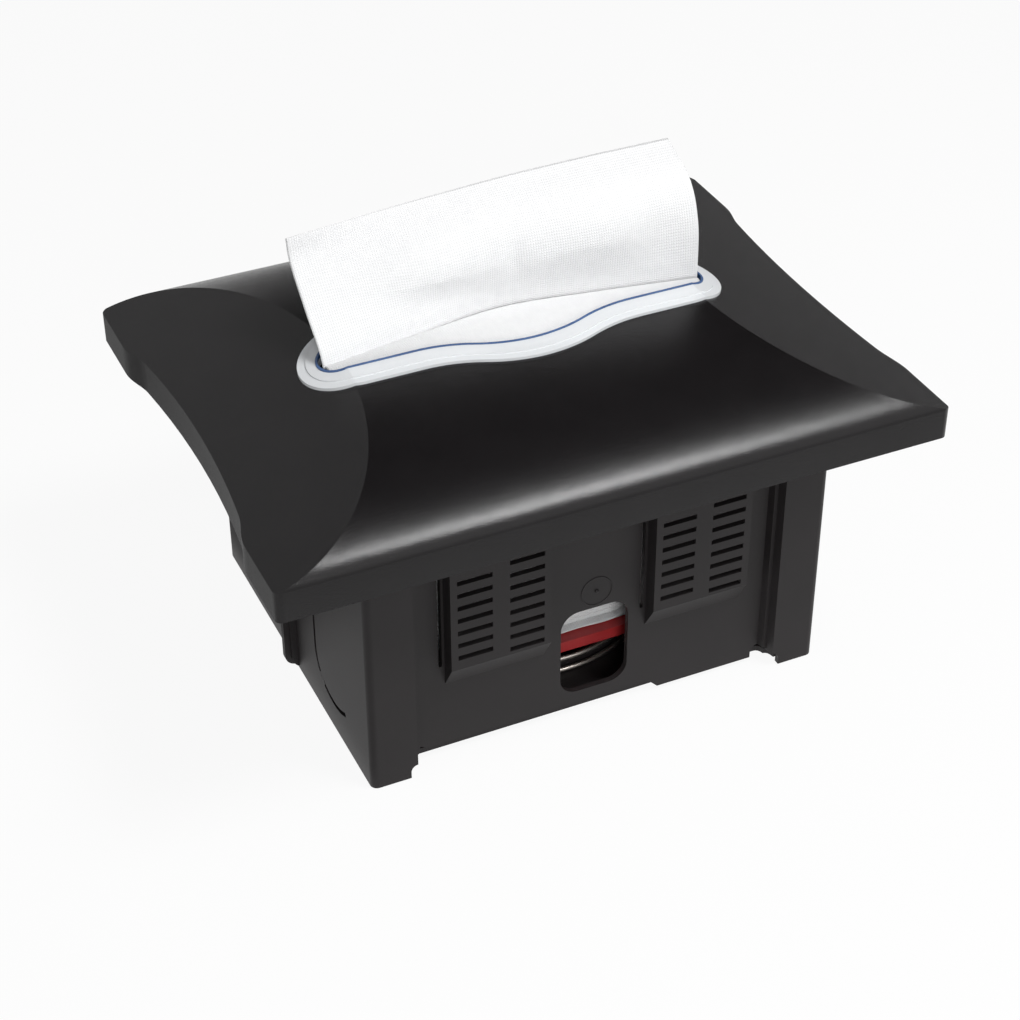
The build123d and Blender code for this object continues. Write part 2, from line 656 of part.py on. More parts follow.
# Napkins: the stack on the follower, and the one that stands in the mouth
with BuildPart() as napkin_stack:
    with BuildSketch(Plane.XY.offset(PLATE_TOP + SOFT_GAP)):
        RectangleRounded(NAPKIN_LENGTH, NAPKIN_WIDTH, STACK_CORNER)
    extrude(amount=STACK_TOP - PLATE_TOP - SOFT_GAP)
finish(napkin_stack.part, "napkin_stack")


def sheet_section(x, front):
    """Cross-section of the pulled napkin at one x, from a smooth front line of (y, z) points."""
    back = []
    for index, point in enumerate(front):
        before = front[max(index - 1, 0)]
        after = front[min(index + 1, len(front) - 1)]
        run_y = after[0] - before[0]
        run_z = after[1] - before[1]
        run = sqrt(run_y**2 + run_z**2)
        back.append((point[0] + run_z / run * SHEET_THICKNESS, point[1] - run_y / run * SHEET_THICKNESS))
    back[0] = (back[0][0], front[0][1])
    with BuildSketch(Plane.YZ.offset(x)) as section:
        with BuildLine():
            Spline(*front)
            Line(front[-1], back[-1])
            Spline(*reversed(back))
            Line(back[0], front[0])
        make_face()
    return section.sketch


sheet_root = STACK_TOP + SOFT_GAP
sheet_lines = [
    [(-3.2, sheet_root), (-2.8, 148.0), (13.5, 161.6), (27.5, 174.3), (31.0, 184.0)],
    [(3.0, sheet_root), (4.0, 148.0), (12.0, 162.0), (24.0, 177.0), (32.0, 187.0)],
    [(8.0, sheet_root), (9.5, 148.0), (9.0, 164.0), (16.0, 180.0), (31.0, 190.0)],
    [(3.0, sheet_root), (4.0, 148.0), (4.5, 166.0), (12.0, 182.5), (29.0, 192.5)],
    [(-3.2, sheet_root), (-3.2, 148.0), (-2.0, 168.6), (6.4, 184.5), (27.0, 194.0)],
]
sheet_x = [(step / 2 - 1) * NAPKIN_LENGTH / 2 for step in range(5)]
sheet_sections = [sheet_section(x, line) for x, line in zip(sheet_x, sheet_lines)]
with BuildPart() as pulled_napkin:
    for section in sheet_sections:
        add(section)
    loft()
finish(pulled_napkin.part, "pulled_napkin")

# Collar that rests on the counter and carries the hinge
collar_plan = lid_outline(LID_WALL + COLLAR_GAP)
inner_lug_x = HINGE_X - KNUCKLE_LENGTH / 2 - LUG_GAP - LUG_LENGTH / 2
outer_lug_x = HINGE_X + KNUCKLE_LENGTH / 2 + LUG_GAP + LUG_LENGTH / 2
funnel_x = 2 * (INNER_X - FUNNEL_END_PLAY)
funnel_y = 2 * (INNER_Y - FUNNEL_SIDE_PLAY)
with BuildPart() as collar:
    with BuildSketch(Plane.XY.offset(COUNTER_Z)):
        add(collar_plan)
        with Locations((0, LID_DEPTH / 2 - COLLAR_REAR_INSET)):
            Rectangle(LID_LENGTH, LID_DEPTH, align=(Align.CENTER, Align.MIN), mode=Mode.SUBTRACT)
        RectangleRounded(funnel_x, funnel_y, TUB_CORNER + FUNNEL_WALL, mode=Mode.SUBTRACT)
        with GridLocations(2 * SCREW_X, 2 * SCREW_Y, 2, 2):
            Circle(SCREW_RADIUS + SCREW_HOLE_PLAY, mode=Mode.SUBTRACT)
        with Locations((-HOOK_X, -LID_DEPTH / 2), (HOOK_X, -LID_DEPTH / 2)):
            Rectangle(HOOK_WIDTH + 2 * HOOK_NOTCH, 2 * (LID_WALL + HOOK_THICKNESS + HOOK_NOTCH),
                      mode=Mode.SUBTRACT)
    extrude(amount=COLLAR_THICKNESS)
    with BuildSketch(Plane.XY.offset(COUNTER_Z)):
        Rectangle(2 * (TUB_HALF_X + RAIL_REACH + REBATE_PLAY), 2 * (TUB_HALF_Y + REBATE_PLAY))
    extrude(amount=REBATE_DEPTH, mode=Mode.SUBTRACT)
    for x in (-outer_lug_x, -inner_lug_x, inner_lug_x, outer_lug_x):
        with BuildSketch(Plane.YZ.offset(x - LUG_LENGTH / 2)):
            with Locations((HINGE_Y, HINGE_Z)):
                Circle(BARREL_RADIUS)
            with BuildLine():
                Polyline((HINGE_Y - LUG_FOOT, COUNTER_Z), (HINGE_Y, COUNTER_Z),
                         (HINGE_Y + BARREL_RADIUS, HINGE_Z),
                         (HINGE_Y, HINGE_Z + BARREL_RADIUS), (HINGE_Y - LUG_FOOT, COLLAR_TOP), close=True)
            make_face()
        extrude(amount=LUG_LENGTH)
    with BuildSketch(Plane.YZ):
        with Locations((HINGE_Y, HINGE_Z)):
            Circle(PIN_RADIUS)
    extrude(amount=LID_LENGTH / 2, both=True, mode=Mode.SUBTRACT)
finish(collar.part, "collar")

# Funnel: the upstanding ring in the collar's opening that leads the napkins in
with BuildPart() as funnel:
    with BuildSketch(Plane.XY.offset(COUNTER_Z - FUNNEL_REACH)):
        RectangleRounded(funnel_x, funnel_y, TUB_CORNER + FUNNEL_WALL)
        RectangleRounded(funnel_x - 2 * FUNNEL_WALL, funnel_y - 2 * FUNNEL_WALL, TUB_CORNER,
                         mode=Mode.SUBTRACT)
    extrude(amount=FUNNEL_REACH + COLLAR_THICKNESS + FUNNEL_HEIGHT)
    rim_edges = funnel.faces().sort_by(Axis.Z)[-1].edges()
    chamfer(rim_edges, FUNNEL_WALL / 3)
finish(funnel.part, "funnel")


# Hinge pins
def hinge_pin(side):
    """Headed pin through two lugs of the collar and one knuckle of the lid."""
    half_length = KNUCKLE_LENGTH / 2 + LUG_GAP + LUG_LENGTH
    with BuildPart() as pin:
        with BuildSketch(Plane.YZ.offset(side * HINGE_X - half_length)):
            with Locations((HINGE_Y, HINGE_Z)):
                Circle(PIN_RADIUS)
        extrude(amount=2 * half_length)
        head_x = side * HINGE_X + (half_length if side > 0 else -half_length - PIN_HEAD)
        with BuildSketch(Plane.YZ.offset(head_x)):
            with Locations((HINGE_Y, HINGE_Z)):
                Circle(PIN_HEAD_RADIUS)
        extrude(amount=PIN_HEAD)
    return pin.part


finish(hinge_pin(-1), "left_hinge_pin")
finish(hinge_pin(1), "right_hinge_pin")

# Lid
lid_plan = lid_outline(0.0)
lid_inner_plan = lid_outline(LID_WALL)
lid_outer = lid_form(0.0, COUNTER_Z)
lid_inner = lid_form(LID_WALL, COUNTER_Z - 1)
lid_block = prism(lid_plan, COUNTER_Z - 1, RIM_Z + CROWN_RISE + 1)
lid_hollow = prism(lid_inner_plan, COUNTER_Z - 1, RIM_Z + CROWN_RISE + 1) & lid_inner
mouth_low = RIM_Z - CUT_MARGIN
mouth_high = RIM_Z + CROWN_RISE + CUT_MARGIN
opening_plan = mouth_outline(FRAME_HALF_LENGTH - FRAME_OVERLAP, FRAME_HALF_WIDTH - FRAME_OVERLAP)
lid_opening = prism(opening_plan, mouth_low, mouth_high)
throat_form = lid_form(FRAME_DEPTH, COUNTER_Z)
with BuildPart() as boss_stock:
    with BuildSketch(Plane.XY.offset(RIM_Z)):
        with GridLocations(2 * THROAT_SCREW_X, 2 * THROAT_SCREW_Y, 2, 2):
            Circle(THROAT_BOSS_RADIUS)
    extrude(amount=CROWN_RISE)
lid_bosses = boss_stock.part & lid_form(LID_WALL / 2, COUNTER_Z)
lid_bosses = lid_bosses - throat_form
pilot_top = crown_z(THROAT_SCREW_Y + THROAT_SCREW_RADIUS, LID_SKIN_OVER_SCREW)

with BuildPart() as lid:
    add(lid_outer)
    add(lid_block, mode=Mode.INTERSECT)
    add(lid_hollow, mode=Mode.SUBTRACT)
    add(lid_opening, mode=Mode.SUBTRACT)
    add(lid_bosses)
    for x in (-THROAT_SCREW_X, THROAT_SCREW_X):
        for y in (-THROAT_SCREW_Y, THROAT_SCREW_Y):
            with Locations((x, y, (RIM_Z + pilot_top) / 2)):
                Cylinder(THROAT_SCREW_RADIUS, pilot_top - RIM_Z, mode=Mode.SUBTRACT)
    with BuildSketch(Plane.YZ):
        with BuildLine():
            Polyline((LID_DEPTH / 2 - REAR_CHAMFER, COUNTER_Z - 1), (LID_DEPTH / 2 - REAR_CHAMFER, COUNTER_Z),
                     (LID_DEPTH / 2, COUNTER_Z + REAR_CHAMFER), (LID_DEPTH / 2 + 1, COUNTER_Z + REAR_CHAMFER),
                     (LID_DEPTH / 2 + 1, COUNTER_Z - 1), close=True)
        make_face()
    extrude(amount=LID_LENGTH / 2, both=True, mode=Mode.SUBTRACT)
    notch_height = HINGE_Z - COUNTER_Z + BARREL_RADIUS + NOTCH_PLAY
    for side in (-1, 1):
        with Locations((side * inner_lug_x, LID_DEPTH / 2, COUNTER_Z + notch_height / 2)):
            Box(LUG_LENGTH + 2 * NOTCH_PLAY, 2 * (LID_WALL + 1), notch_height, mode=Mode.SUBTRACT)
        with Locations((side * (outer_lug_x + PIN_HEAD / 2), LID_DEPTH / 2, COUNTER_Z + notch_height / 2)):
            Box(LUG_LENGTH + PIN_HEAD + 2 * NOTCH_PLAY, 2 * (LID_WALL + 1), notch_height, mode=Mode.SUBTRACT)
        with BuildSketch(Plane.YZ.offset(side * HINGE_X - KNUCKLE_LENGTH / 2)):
            with Locations((HINGE_Y, HINGE_Z)):
                Circle(BARREL_RADIUS)
        extrude(amount=KNUCKLE_LENGTH)
        with BuildSketch(Plane.YZ.offset(side * HINGE_X - KNUCKLE_LENGTH)):
            with Locations((HINGE_Y, HINGE_Z)):
                Circle(PIN_RADIUS + PIN_PLAY)
        extrude(amount=2 * KNUCKLE_LENGTH, mode=Mode.SUBTRACT)
    for x in (-HOOK_X, HOOK_X):
        hook_y = -LID_DEPTH / 2 + LID_WALL + HOOK_THICKNESS / 2
        with Locations((x, hook_y, (COUNTER_Z + HOOK_GAP + RIM_Z) / 2)):
            Box(HOOK_WIDTH, HOOK_THICKNESS + 0.2, SKIRT_HEIGHT - HOOK_GAP)
finish(lid.part, "lid")

# Mouth frame: a clear ring that lies on the lid, and a slightly higher wall that reaches down through it
wall_inset = FRAME_OVERLAP + FRAME_PLAY
wall_plan = mouth_outline(FRAME_HALF_LENGTH - wall_inset, FRAME_HALF_WIDTH - wall_inset)
hole_plan = mouth_outline(MOUTH_HALF_LENGTH, MOUTH_HALF_WIDTH)
frame_low = lid_form(FRAME_DEPTH, COUNTER_Z - 1)
frame_rim = (prism(mouth_outline(FRAME_HALF_LENGTH, FRAME_HALF_WIDTH), RIM_Z, mouth_high)
             & lid_form(-FRAME_PROUD, COUNTER_Z)) - lid_outer
frame_top = lid_form(-FRAME_PROUD - FRAME_STEP, COUNTER_Z)
frame_wall = (prism(wall_plan, RIM_Z, mouth_high) & frame_top) - frame_low
frame_hole = prism(hole_plan, mouth_low, mouth_high + 1)
with BuildPart() as mouth_frame:
    add(frame_rim)
    add(frame_wall)
    add(frame_hole, mode=Mode.SUBTRACT)
finish(mouth_frame.part, "mouth_frame")

# Blue bead along the inner edge of the mouth frame
trim_outside = prism(hole_plan, RIM_Z, mouth_high)
trim_inside = prism(mouth_outline(MOUTH_HALF_LENGTH - TRIM_WIDTH, MOUTH_HALF_WIDTH - TRIM_WIDTH), RIM_Z - 1,
                    mouth_high + 1)
trim_height = lid_form(-TRIM_PROUD, COUNTER_Z) - lid_form(0.0, COUNTER_Z - 1)
with BuildPart() as mouth_trim:
    add(trim_outside)
    add(trim_inside, mode=Mode.SUBTRACT)
    add(trim_height, mode=Mode.INTERSECT)
finish(mouth_trim.part, "mouth_trim")

# Throat plate: clamps the frame from below and narrows the mouth to the napkin
throat_plan = mouth_outline(MOUTH_HALF_LENGTH - THROAT_LIP, MOUTH_HALF_WIDTH - THROAT_LIP)
throat_mouth = prism(throat_plan, mouth_low - 1, mouth_high)
throat_top = lid_form(FRAME_DEPTH, COUNTER_Z)
throat_bottom = lid_form(THROAT_UNDERSIDE, COUNTER_Z - 1)
with BuildPart() as throat_plate:
    with BuildSketch(Plane.XY.offset(RIM_Z - CUT_MARGIN)):
        RectangleRounded(2 * THROAT_HALF_LENGTH, 2 * THROAT_HALF_WIDTH, THROAT_CORNER)
    extrude(amount=CROWN_RISE + CUT_MARGIN)
    add(throat_top, mode=Mode.INTERSECT)
    add(throat_bottom, mode=Mode.SUBTRACT)
    add(throat_mouth, mode=Mode.SUBTRACT)
    for x in (-THROAT_SCREW_X, THROAT_SCREW_X):
        for y in (-THROAT_SCREW_Y, THROAT_SCREW_Y):
            with Locations((x, y, RIM_Z)):
                Cylinder(THROAT_SCREW_RADIUS + SCREW_HOLE_PLAY, 2 * CROWN_RISE, mode=Mode.SUBTRACT)
finish(throat_plate.part, "throat_plate")

# Screws of the throat plate, from below
throat_face_z = crown_z(THROAT_SCREW_Y, THROAT_UNDERSIDE)
throat_shank = THROAT_UNDERSIDE - LID_SKIN_OVER_SCREW - 0.8
throat_screw = screw(THROAT_SCREW_RADIUS, throat_shank, THROAT_HEAD_RADIUS, THROAT_HEAD_HEIGHT)
with BuildPart() as throat_screws:
    for x in (-THROAT_SCREW_X, THROAT_SCREW_X):
        for y in (-THROAT_SCREW_Y, THROAT_SCREW_Y):
            with Locations((x, y, throat_face_z - 0.3)):
                add(throat_screw)
finish(throat_screws.part, "throat_screws")
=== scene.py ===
# %% [markdown]
# # A napkin dispenser that drops into a counter
# The dispenser was drawn in CAD, so every hard piece already has its shape and its place. This script
# dresses those pieces: it gives them their plastics and steels, makes the paper napkins, and sets up the
# light and the camera. All lengths are in metres unless a comment says millimetres, in the frame of the
# CAD model: X along the lid, the front at -Y, Z up.

# %% Load the CAD pieces
import json
import math

import bmesh
import bpy
from mathutils import Matrix, Vector, noise


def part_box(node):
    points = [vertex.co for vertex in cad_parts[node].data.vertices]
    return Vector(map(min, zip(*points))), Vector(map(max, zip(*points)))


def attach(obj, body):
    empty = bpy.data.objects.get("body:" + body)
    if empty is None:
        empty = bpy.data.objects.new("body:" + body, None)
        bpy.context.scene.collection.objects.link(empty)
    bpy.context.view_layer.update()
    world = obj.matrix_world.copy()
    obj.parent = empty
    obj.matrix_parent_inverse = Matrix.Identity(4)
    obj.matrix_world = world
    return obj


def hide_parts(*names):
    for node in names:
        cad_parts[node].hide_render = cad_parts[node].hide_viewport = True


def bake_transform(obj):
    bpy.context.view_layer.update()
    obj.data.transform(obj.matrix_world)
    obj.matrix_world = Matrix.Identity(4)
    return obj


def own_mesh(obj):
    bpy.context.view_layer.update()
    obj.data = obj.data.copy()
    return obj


MM = 0.001
WHITE = (1.0, 1.0, 1.0, 1.0)

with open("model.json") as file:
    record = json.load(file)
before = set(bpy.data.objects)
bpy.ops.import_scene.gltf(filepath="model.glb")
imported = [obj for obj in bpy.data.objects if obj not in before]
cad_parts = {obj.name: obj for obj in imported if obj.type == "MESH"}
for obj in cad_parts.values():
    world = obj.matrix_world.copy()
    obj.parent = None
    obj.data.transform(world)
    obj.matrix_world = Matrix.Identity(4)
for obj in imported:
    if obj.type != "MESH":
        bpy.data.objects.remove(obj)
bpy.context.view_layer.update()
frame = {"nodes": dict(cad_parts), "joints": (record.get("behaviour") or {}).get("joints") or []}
nodes = frame["nodes"]

# %% [markdown]
# ## Camera
# The picture was taken from the front left and from above, about a metre away. The camera stands where the
# corners of the lid and of the tub fall on the same places as in the picture.

# %% Camera
CAMERA_PLACE = Vector((-0.324351, -0.706334, 0.615247))
CAMERA_AHEAD = Vector((0.336384, 0.735058, -0.588673))
CAMERA_RIGHT = Vector((0.908432, -0.418024, -0.002870))
CAMERA_LENS_MM = 80.15
CAMERA_SENSOR_MM = 36.0

camera_data = bpy.data.cameras.new("camera")
camera_data.lens = CAMERA_LENS_MM
camera_data.sensor_width = CAMERA_SENSOR_MM
camera = bpy.data.objects.new("camera", camera_data)
bpy.context.scene.collection.objects.link(camera)
back = -CAMERA_AHEAD.normalized()
right = (CAMERA_RIGHT - back * CAMERA_RIGHT.dot(back)).normalized()
up = back.cross(right)
turn = Matrix((right, up, back)).transposed()
camera.matrix_world = Matrix.Translation(CAMERA_PLACE) @ turn.to_4x4()
bpy.context.scene.camera = camera
print("camera is", round(CAMERA_PLACE.length, 3), "m from the foot of the tub")

# %% [markdown]
# ## A small language for materials
# Blender's materials are graphs of nodes. Written out node by node they are long and hard to read, so one
# small class stands for the output of a node. Adding or multiplying two such outputs adds the Math node
# that does it.


# %% Shader sums as Python sums
class Signal:
    """The output of one node. Sums and products of signals add Math nodes to the same material."""

    def __init__(self, material, socket):
        self.material = material
        self.socket = socket

    def _math(self, operation, first, second):
        return self.material.node("ShaderNodeMath", {"operation": operation}, {0: first, 1: second})

    def __add__(self, other):
        return self._math("ADD", self, other)

    __radd__ = __add__

    def __mul__(self, other):
        return self._math("MULTIPLY", self, other)

    __rmul__ = __mul__


# %% Finishes
DRIFT_FROM = 0.3
DRIFT_TO = 0.7
PLUM_CAST = (1.12, 0.94, 0.98)


class Finish:
    """One material, built from signals."""

    def __init__(self, name):
        self.material = bpy.data.materials.new(name)
        self.material.use_nodes = True
        self.tree = self.material.node_tree
        self.tree.nodes.clear()
        self.end = self.tree.nodes.new("ShaderNodeOutputMaterial")

    def node(self, kind, settings=None, inputs=None, output=0):
        """Adds a node, sets its settings and its sockets, and returns one of its outputs."""
        made = self.tree.nodes.new(kind)
        for key, value in (settings or {}).items():
            if key == "stops":
                self._stops(made.color_ramp, value)
            else:
                setattr(made, key, value)
        for key, value in (inputs or {}).items():
            if isinstance(value, Signal):
                self.tree.links.new(value.socket, made.inputs[key])
            else:
                made.inputs[key].default_value = value
        return Signal(self, made.outputs[output])

    def _stops(self, ramp, stops):
        while len(ramp.elements) < len(stops):
            ramp.elements.new(1.0)
        for element, (place, color) in zip(ramp.elements, stops):
            element.position = place
            element.color = color

    def place(self, scale=(1.0, 1.0, 1.0)):
        """Object coordinates, stretched."""
        where = self.node("ShaderNodeTexCoord", output="Object")
        return self.node("ShaderNodeMapping", {}, {"Vector": where, "Scale": scale})

    def noise(self, where, size, detail=2.0, roughness=0.5):
        """Cloudy noise from 0 to 1 whose lumps are about size metres wide."""
        sockets = {"Vector": where, "Scale": 1.0 / size, "Detail": detail, "Roughness": roughness}
        return self.node("ShaderNodeTexNoise", {}, sockets)

    def drift(self, cloud, dark, light):
        """A colour that drifts from dark to light over the middle range of a noise."""
        stops = ((DRIFT_FROM, dark), (DRIFT_TO, light))
        return self.node("ShaderNodeValToRGB", {"stops": stops}, {"Fac": cloud})

    def bump(self, height, distance, strength=1.0):
        """Turns a height signal into a surface normal; distance is the full height in metres."""
        sockets = {"Height": height, "Distance": distance, "Strength": strength}
        return self.node("ShaderNodeBump", {}, sockets, output="Normal")

    def close(self, shader):
        """Ends the material in a shader."""
        self.tree.links.new(shader.socket, self.end.inputs["Surface"])
        return self.material

    def surface(self, **inputs):
        """Ends the material in a Principled shader."""
        sockets = {key.replace("_", " "): value for key, value in inputs.items()}
        return self.close(self.node("ShaderNodeBsdfPrincipled", {}, sockets))


def grey(level, warm=0.0):
    """An RGBA grey, a little warmer or colder."""
    return (level + warm, level, level - warm, 1.0)


def plum(level):
    """An RGBA grey with the slight purple cast of the tub's plastic."""
    return (*(level * share for share in PLUM_CAST), 1.0)


def dress(material, *names):
    """Gives CAD nodes a material."""
    for name in names:
        slots = nodes[name].data.materials
        slots.clear()
        slots.append(material)


print("shader helpers are ready")

# %% [markdown]
# ## Lid plastic
# The lid is moulded in black plastic with a fine spark-eroded texture. It has a soft satin gloss: the
# overhead light draws one bright band along the front roll, which the texture softens.

# %% Lid plastic
LID_DARK = (0.0067, 0.0059, 0.0063, 1.0)
LID_LIGHT = (0.0084, 0.0074, 0.0079, 1.0)
LID_ROUGHNESS = 0.21
LID_ROUGHNESS_SPREAD = 0.07
LID_GRAIN_DEPTH = 0.00009


def lid_plastic():
    """Black satin plastic with a fine grain."""
    finish = Finish("lid_plastic")
    where = finish.place()
    grain = finish.noise(where, size=0.0006, roughness=0.7)
    cloud = finish.noise(where, size=0.02)
    return finish.surface(
        Base_Color=finish.drift(cloud, LID_DARK, LID_LIGHT),
        Roughness=LID_ROUGHNESS + grain * LID_ROUGHNESS_SPREAD,
        Normal=finish.bump(grain, distance=LID_GRAIN_DEPTH),
        Specular_IOR_Level=0.34,
    )


dress(lid_plastic(), "lid")
print("the lid is satin black")

# %% [markdown]
# ## Tub plastic
# The tub is out of sight once it is fitted, so it has a plainer, duller finish than the lid: dark grey
# with a trace of purple and the faint cloudiness of a large moulding.

# %% Tub plastic
TUB_CLOUD_SHARE = 0.12
TUB_ROUGHNESS = 0.42
TUB_ROUGHNESS_SPREAD = 0.12
FINE_GRAIN_DEPTH = 0.00003


def tub_plastic(name, level):
    """Matt dark grey plastic."""
    finish = Finish(name)
    where = finish.place()
    grain = finish.noise(where, size=0.0005)
    cloud = finish.noise(where, size=0.03, detail=3.0)
    dark = plum(level * (1 - TUB_CLOUD_SHARE))
    light = plum(level * (1 + TUB_CLOUD_SHARE))
    return finish.surface(
        Base_Color=finish.drift(cloud, dark, light),
        Roughness=TUB_ROUGHNESS + grain * TUB_ROUGHNESS_SPREAD,
        Normal=finish.bump(grain, distance=FINE_GRAIN_DEPTH, strength=0.5),
        Specular_IOR_Level=0.28,
    )


dress(tub_plastic("tub_plastic", level=0.011), "housing", "collar")
dress(tub_plastic("inner_plastic", level=0.010),
      "base_plate", "funnel", "left_guide", "right_guide", "throat_plate")
print("the tub and its inner pieces are dark grey")

# %% [markdown]
# ## Mouth frame, bead, follower, steel
# The frame round the mouth is clear plastic that looks milky over the white paper. The bead on its inner
# edge is blue, the follower plate is red, and the spring is plain drawn wire, a little warmer in tone than
# the screws.

# %% Clear frame
CLEAR_ROUGHNESS = 0.06
CLEAR_ROUGHNESS_SPREAD = 0.06


def clear_plastic():
    """Glossy clear plastic, milky where it lies over paper."""
    finish = Finish("clear_plastic")
    ripple = finish.noise(finish.place(), size=0.006)
    return finish.surface(
        Base_Color=(0.86, 0.88, 0.90, 1.0),
        Roughness=CLEAR_ROUGHNESS + ripple * CLEAR_ROUGHNESS_SPREAD,
        Alpha=0.85,
        Normal=finish.bump(ripple, distance=0.0001, strength=0.5),
    )


dress(clear_plastic(), "mouth_frame")
print("the frame is clear")

# %% Coloured plastic
GLOSS_ROUGHNESS_SPREAD = 0.08
BLUE_DARK = (0.035, 0.085, 0.22, 1.0)
BLUE_LIGHT = (0.055, 0.12, 0.28, 1.0)
RED_DARK = (0.36, 0.018, 0.020, 1.0)
RED_LIGHT = (0.44, 0.026, 0.028, 1.0)


def coloured_plastic(name, dark, light, roughness):
    """Moulded colour with a slight drift in tone."""
    finish = Finish(name)
    where = finish.place()
    cloud = finish.noise(where, size=0.01)
    grain = finish.noise(where, size=0.0006)
    return finish.surface(
        Base_Color=finish.drift(cloud, dark, light),
        Roughness=roughness + grain * GLOSS_ROUGHNESS_SPREAD,
        Normal=finish.bump(grain, distance=FINE_GRAIN_DEPTH, strength=0.5),
    )


dress(coloured_plastic("blue_bead", BLUE_DARK, BLUE_LIGHT, roughness=0.2), "mouth_trim")
dress(coloured_plastic("red_plastic", RED_DARK, RED_LIGHT, roughness=0.35), "follower")
print("the bead is blue, the follower is red")

# %% Steel
STEEL_STRETCH = (1.0, 1.0, 6.0)
STEEL_DARK_SHARE = 0.85
STEEL_LIGHT_SHARE = 1.05
STEEL_ROUGHNESS_SPREAD = 0.12


def drawn_steel(name, level, roughness, warm):
    """Steel with a fine drawn grain."""
    finish = Finish(name)
    grain = finish.noise(finish.place(STEEL_STRETCH), size=0.0008, detail=3.0)
    dark = grey(level * STEEL_DARK_SHARE, warm)
    light = grey(level * STEEL_LIGHT_SHARE, warm)
    return finish.surface(
        Base_Color=finish.drift(grain, dark, light),
        Metallic=1.0,
        Roughness=roughness + grain * STEEL_ROUGHNESS_SPREAD,
    )


dress(drawn_steel("spring_steel", level=0.52, roughness=0.30, warm=0.04), "follower_spring")
dress(drawn_steel("screw_steel", level=0.60, roughness=0.24, warm=0.008),
      "base_screws", "guide_screws", "collar_screws", "throat_screws", "left_hinge_pin", "right_hinge_pin")
print("the spring, screws and pins are steel")

# %% [markdown]
# ## Napkin paper
# The napkins are soft white paper with a fine embossed pattern. Real ones are two thin plies, so the
# surface is never quite flat.

# %% Napkin paper
PAPER_DARK = (0.80, 0.803, 0.810, 1.0)
PAPER_LIGHT = (0.83, 0.833, 0.838, 1.0)
THREAD_SHARE = 0.8
SOFT_SHARE = 0.35


def napkin_paper():
    """Soft white paper with a fine woven emboss."""
    finish = Finish("napkin_paper")
    uv = finish.node("ShaderNodeTexCoord", output="UV")
    threads = {"Vector": uv, "Scale": 52.0, "Distortion": 1.2, "Detail": 1.0}
    across = finish.node("ShaderNodeTexWave", {"bands_direction": "X"}, threads)
    along = finish.node("ShaderNodeTexWave", {"bands_direction": "Y"}, threads)
    soft = finish.noise(finish.place(), size=0.004, detail=3.0)
    height = across * along * THREAD_SHARE + soft * SOFT_SHARE
    return finish.surface(
        Base_Color=finish.drift(soft, PAPER_DARK, PAPER_LIGHT),
        Roughness=0.9,
        Normal=finish.bump(height, distance=0.00025, strength=0.75),
        Sheen_Weight=0.1,
    )


paper = napkin_paper()
print("paper is ready")

# %% [markdown]
# ## Napkin in the mouth
# One napkin stands out of the mouth, as the next person finds it. It is a single sheet, so it is a grid
# that follows five cross-sections from left to right. Each is a row of (y, z) places in millimetres, from
# the throat up. The soft dents that fingers leave are pressed into it afterwards.

# %% Shape of the napkin, in millimetres
ROOT_Z = 135.9
SHEET_HALF = 82.0
SHEET_LINES = [
    [(-3.2, ROOT_Z), (-2.8, 148.0), (13.5, 161.6), (27.5, 174.3), (31.0, 183.6)],
    [(3.0, ROOT_Z), (4.0, 148.0), (12.0, 162.0), (24.0, 177.0), (32.0, 186.6)],
    [(8.0, ROOT_Z), (9.5, 148.0), (9.0, 164.0), (16.0, 180.0), (31.0, 189.6)],
    [(3.0, ROOT_Z), (4.0, 148.0), (4.5, 166.0), (12.0, 182.5), (29.0, 192.1)],
    [(-3.2, ROOT_Z), (-3.2, 148.0), (-2.0, 168.6), (6.4, 184.5), (26.6, 193.6)],
]

# Each dent: its middle across and up the sheet, its width and height there, and its depth to the front
DENTS = [
    (-0.38, 0.62, 0.26, 0.18, 4.6),
    (-0.30, 0.27, 0.25, 0.11, -2.4),
    (0.07, 0.42, 0.05, 0.22, -1.4),
    (0.48, 0.58, 0.26, 0.20, 2.2),
    (0.80, 0.35, 0.12, 0.25, -1.5),
    (0.15, 0.80, 0.20, 0.15, -1.4),
]
DENTS_FROM = 0.3
DENTS_FADE = 5


def smooth_through(values, share):
    """Catmull-Rom value at share, from 0 to 1, through evenly spaced values."""
    last = len(values) - 1
    at = min(max(share, 0.0), 1.0) * last
    first = min(int(at), last - 1)
    t = at - first
    p1 = values[first]
    p2 = values[first + 1]
    p0 = values[first - 1] if first > 0 else 2 * p1 - p2
    p3 = values[first + 2] if first + 2 <= last else 2 * p2 - p1
    return 0.5 * (2 * p1 + (p2 - p0) * t + (2 * p0 - 5 * p1 + 4 * p2 - p3) * t * t
                  + (3 * p1 - p0 - 3 * p2 + p3) * t * t * t)


def sheet_point(u, v):
    """Point of the napkin in millimetres: u from -1 to 1 across it, v from 0 to 1 up it."""
    ys, zs = [[smooth_through([line[k][axis] for line in SHEET_LINES], (u + 1) / 2)
               for k in range(len(SHEET_LINES[0]))] for axis in (0, 1)]
    y = smooth_through(ys, v)
    z = smooth_through(zs, v)
    free = min(1.0, max(0.0, (v - DENTS_FROM) * DENTS_FADE))
    for center_u, center_v, wide, tall, depth in DENTS:
        push = depth * math.exp(-((u - center_u) / wide) ** 2 - ((v - center_v) / tall) ** 2)
        y -= push * free
    return Vector((u * SHEET_HALF, y, z))


print("the napkin's top corners are at", [[round(v) for v in sheet_point(u, 1.0)] for u in (-1, 1)], "mm")

# %% Sheets of paper
PAPER_THICKNESS = 0.0005
PAPER_UV_HEIGHT = 0.4


